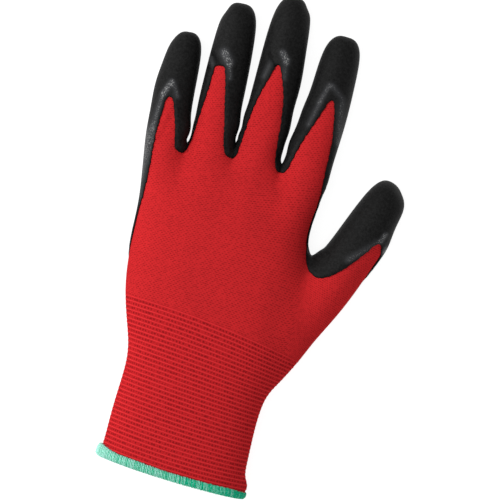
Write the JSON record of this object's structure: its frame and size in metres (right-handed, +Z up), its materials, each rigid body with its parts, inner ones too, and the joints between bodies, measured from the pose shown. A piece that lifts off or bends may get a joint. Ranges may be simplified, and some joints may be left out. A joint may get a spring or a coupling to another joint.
{
  "type": "nitrile coated cut-resistant work glove, left hand",
  "caption": "Left-hand knitted work glove with a black nitrile coated palm and fingertips, a long elastic cuff and an overlocked hem, lying palm down and hollow.",
  "frame": {"origin": "on the coating's flat underside in the middle of the palm, level with the surface the glove lies on", "axes": "+X towards the thumb's side, +Y along the hand towards the fingertips, +Z up out of the back of the hand"},
  "size_m": [0.1349, 0.2529, 0.0339],
  "materials": {
    "liner_knit": "fine matte knit",
    "nitrile": "satin foam nitrile",
    "hem_thread": "matte overlock thread"
  },
  "bodies": {
    "root": {"knit_liner": "liner_knit", "nitrile_coating": "nitrile", "cuff_hem": "hem_thread"}
  },
  "joints": []
}
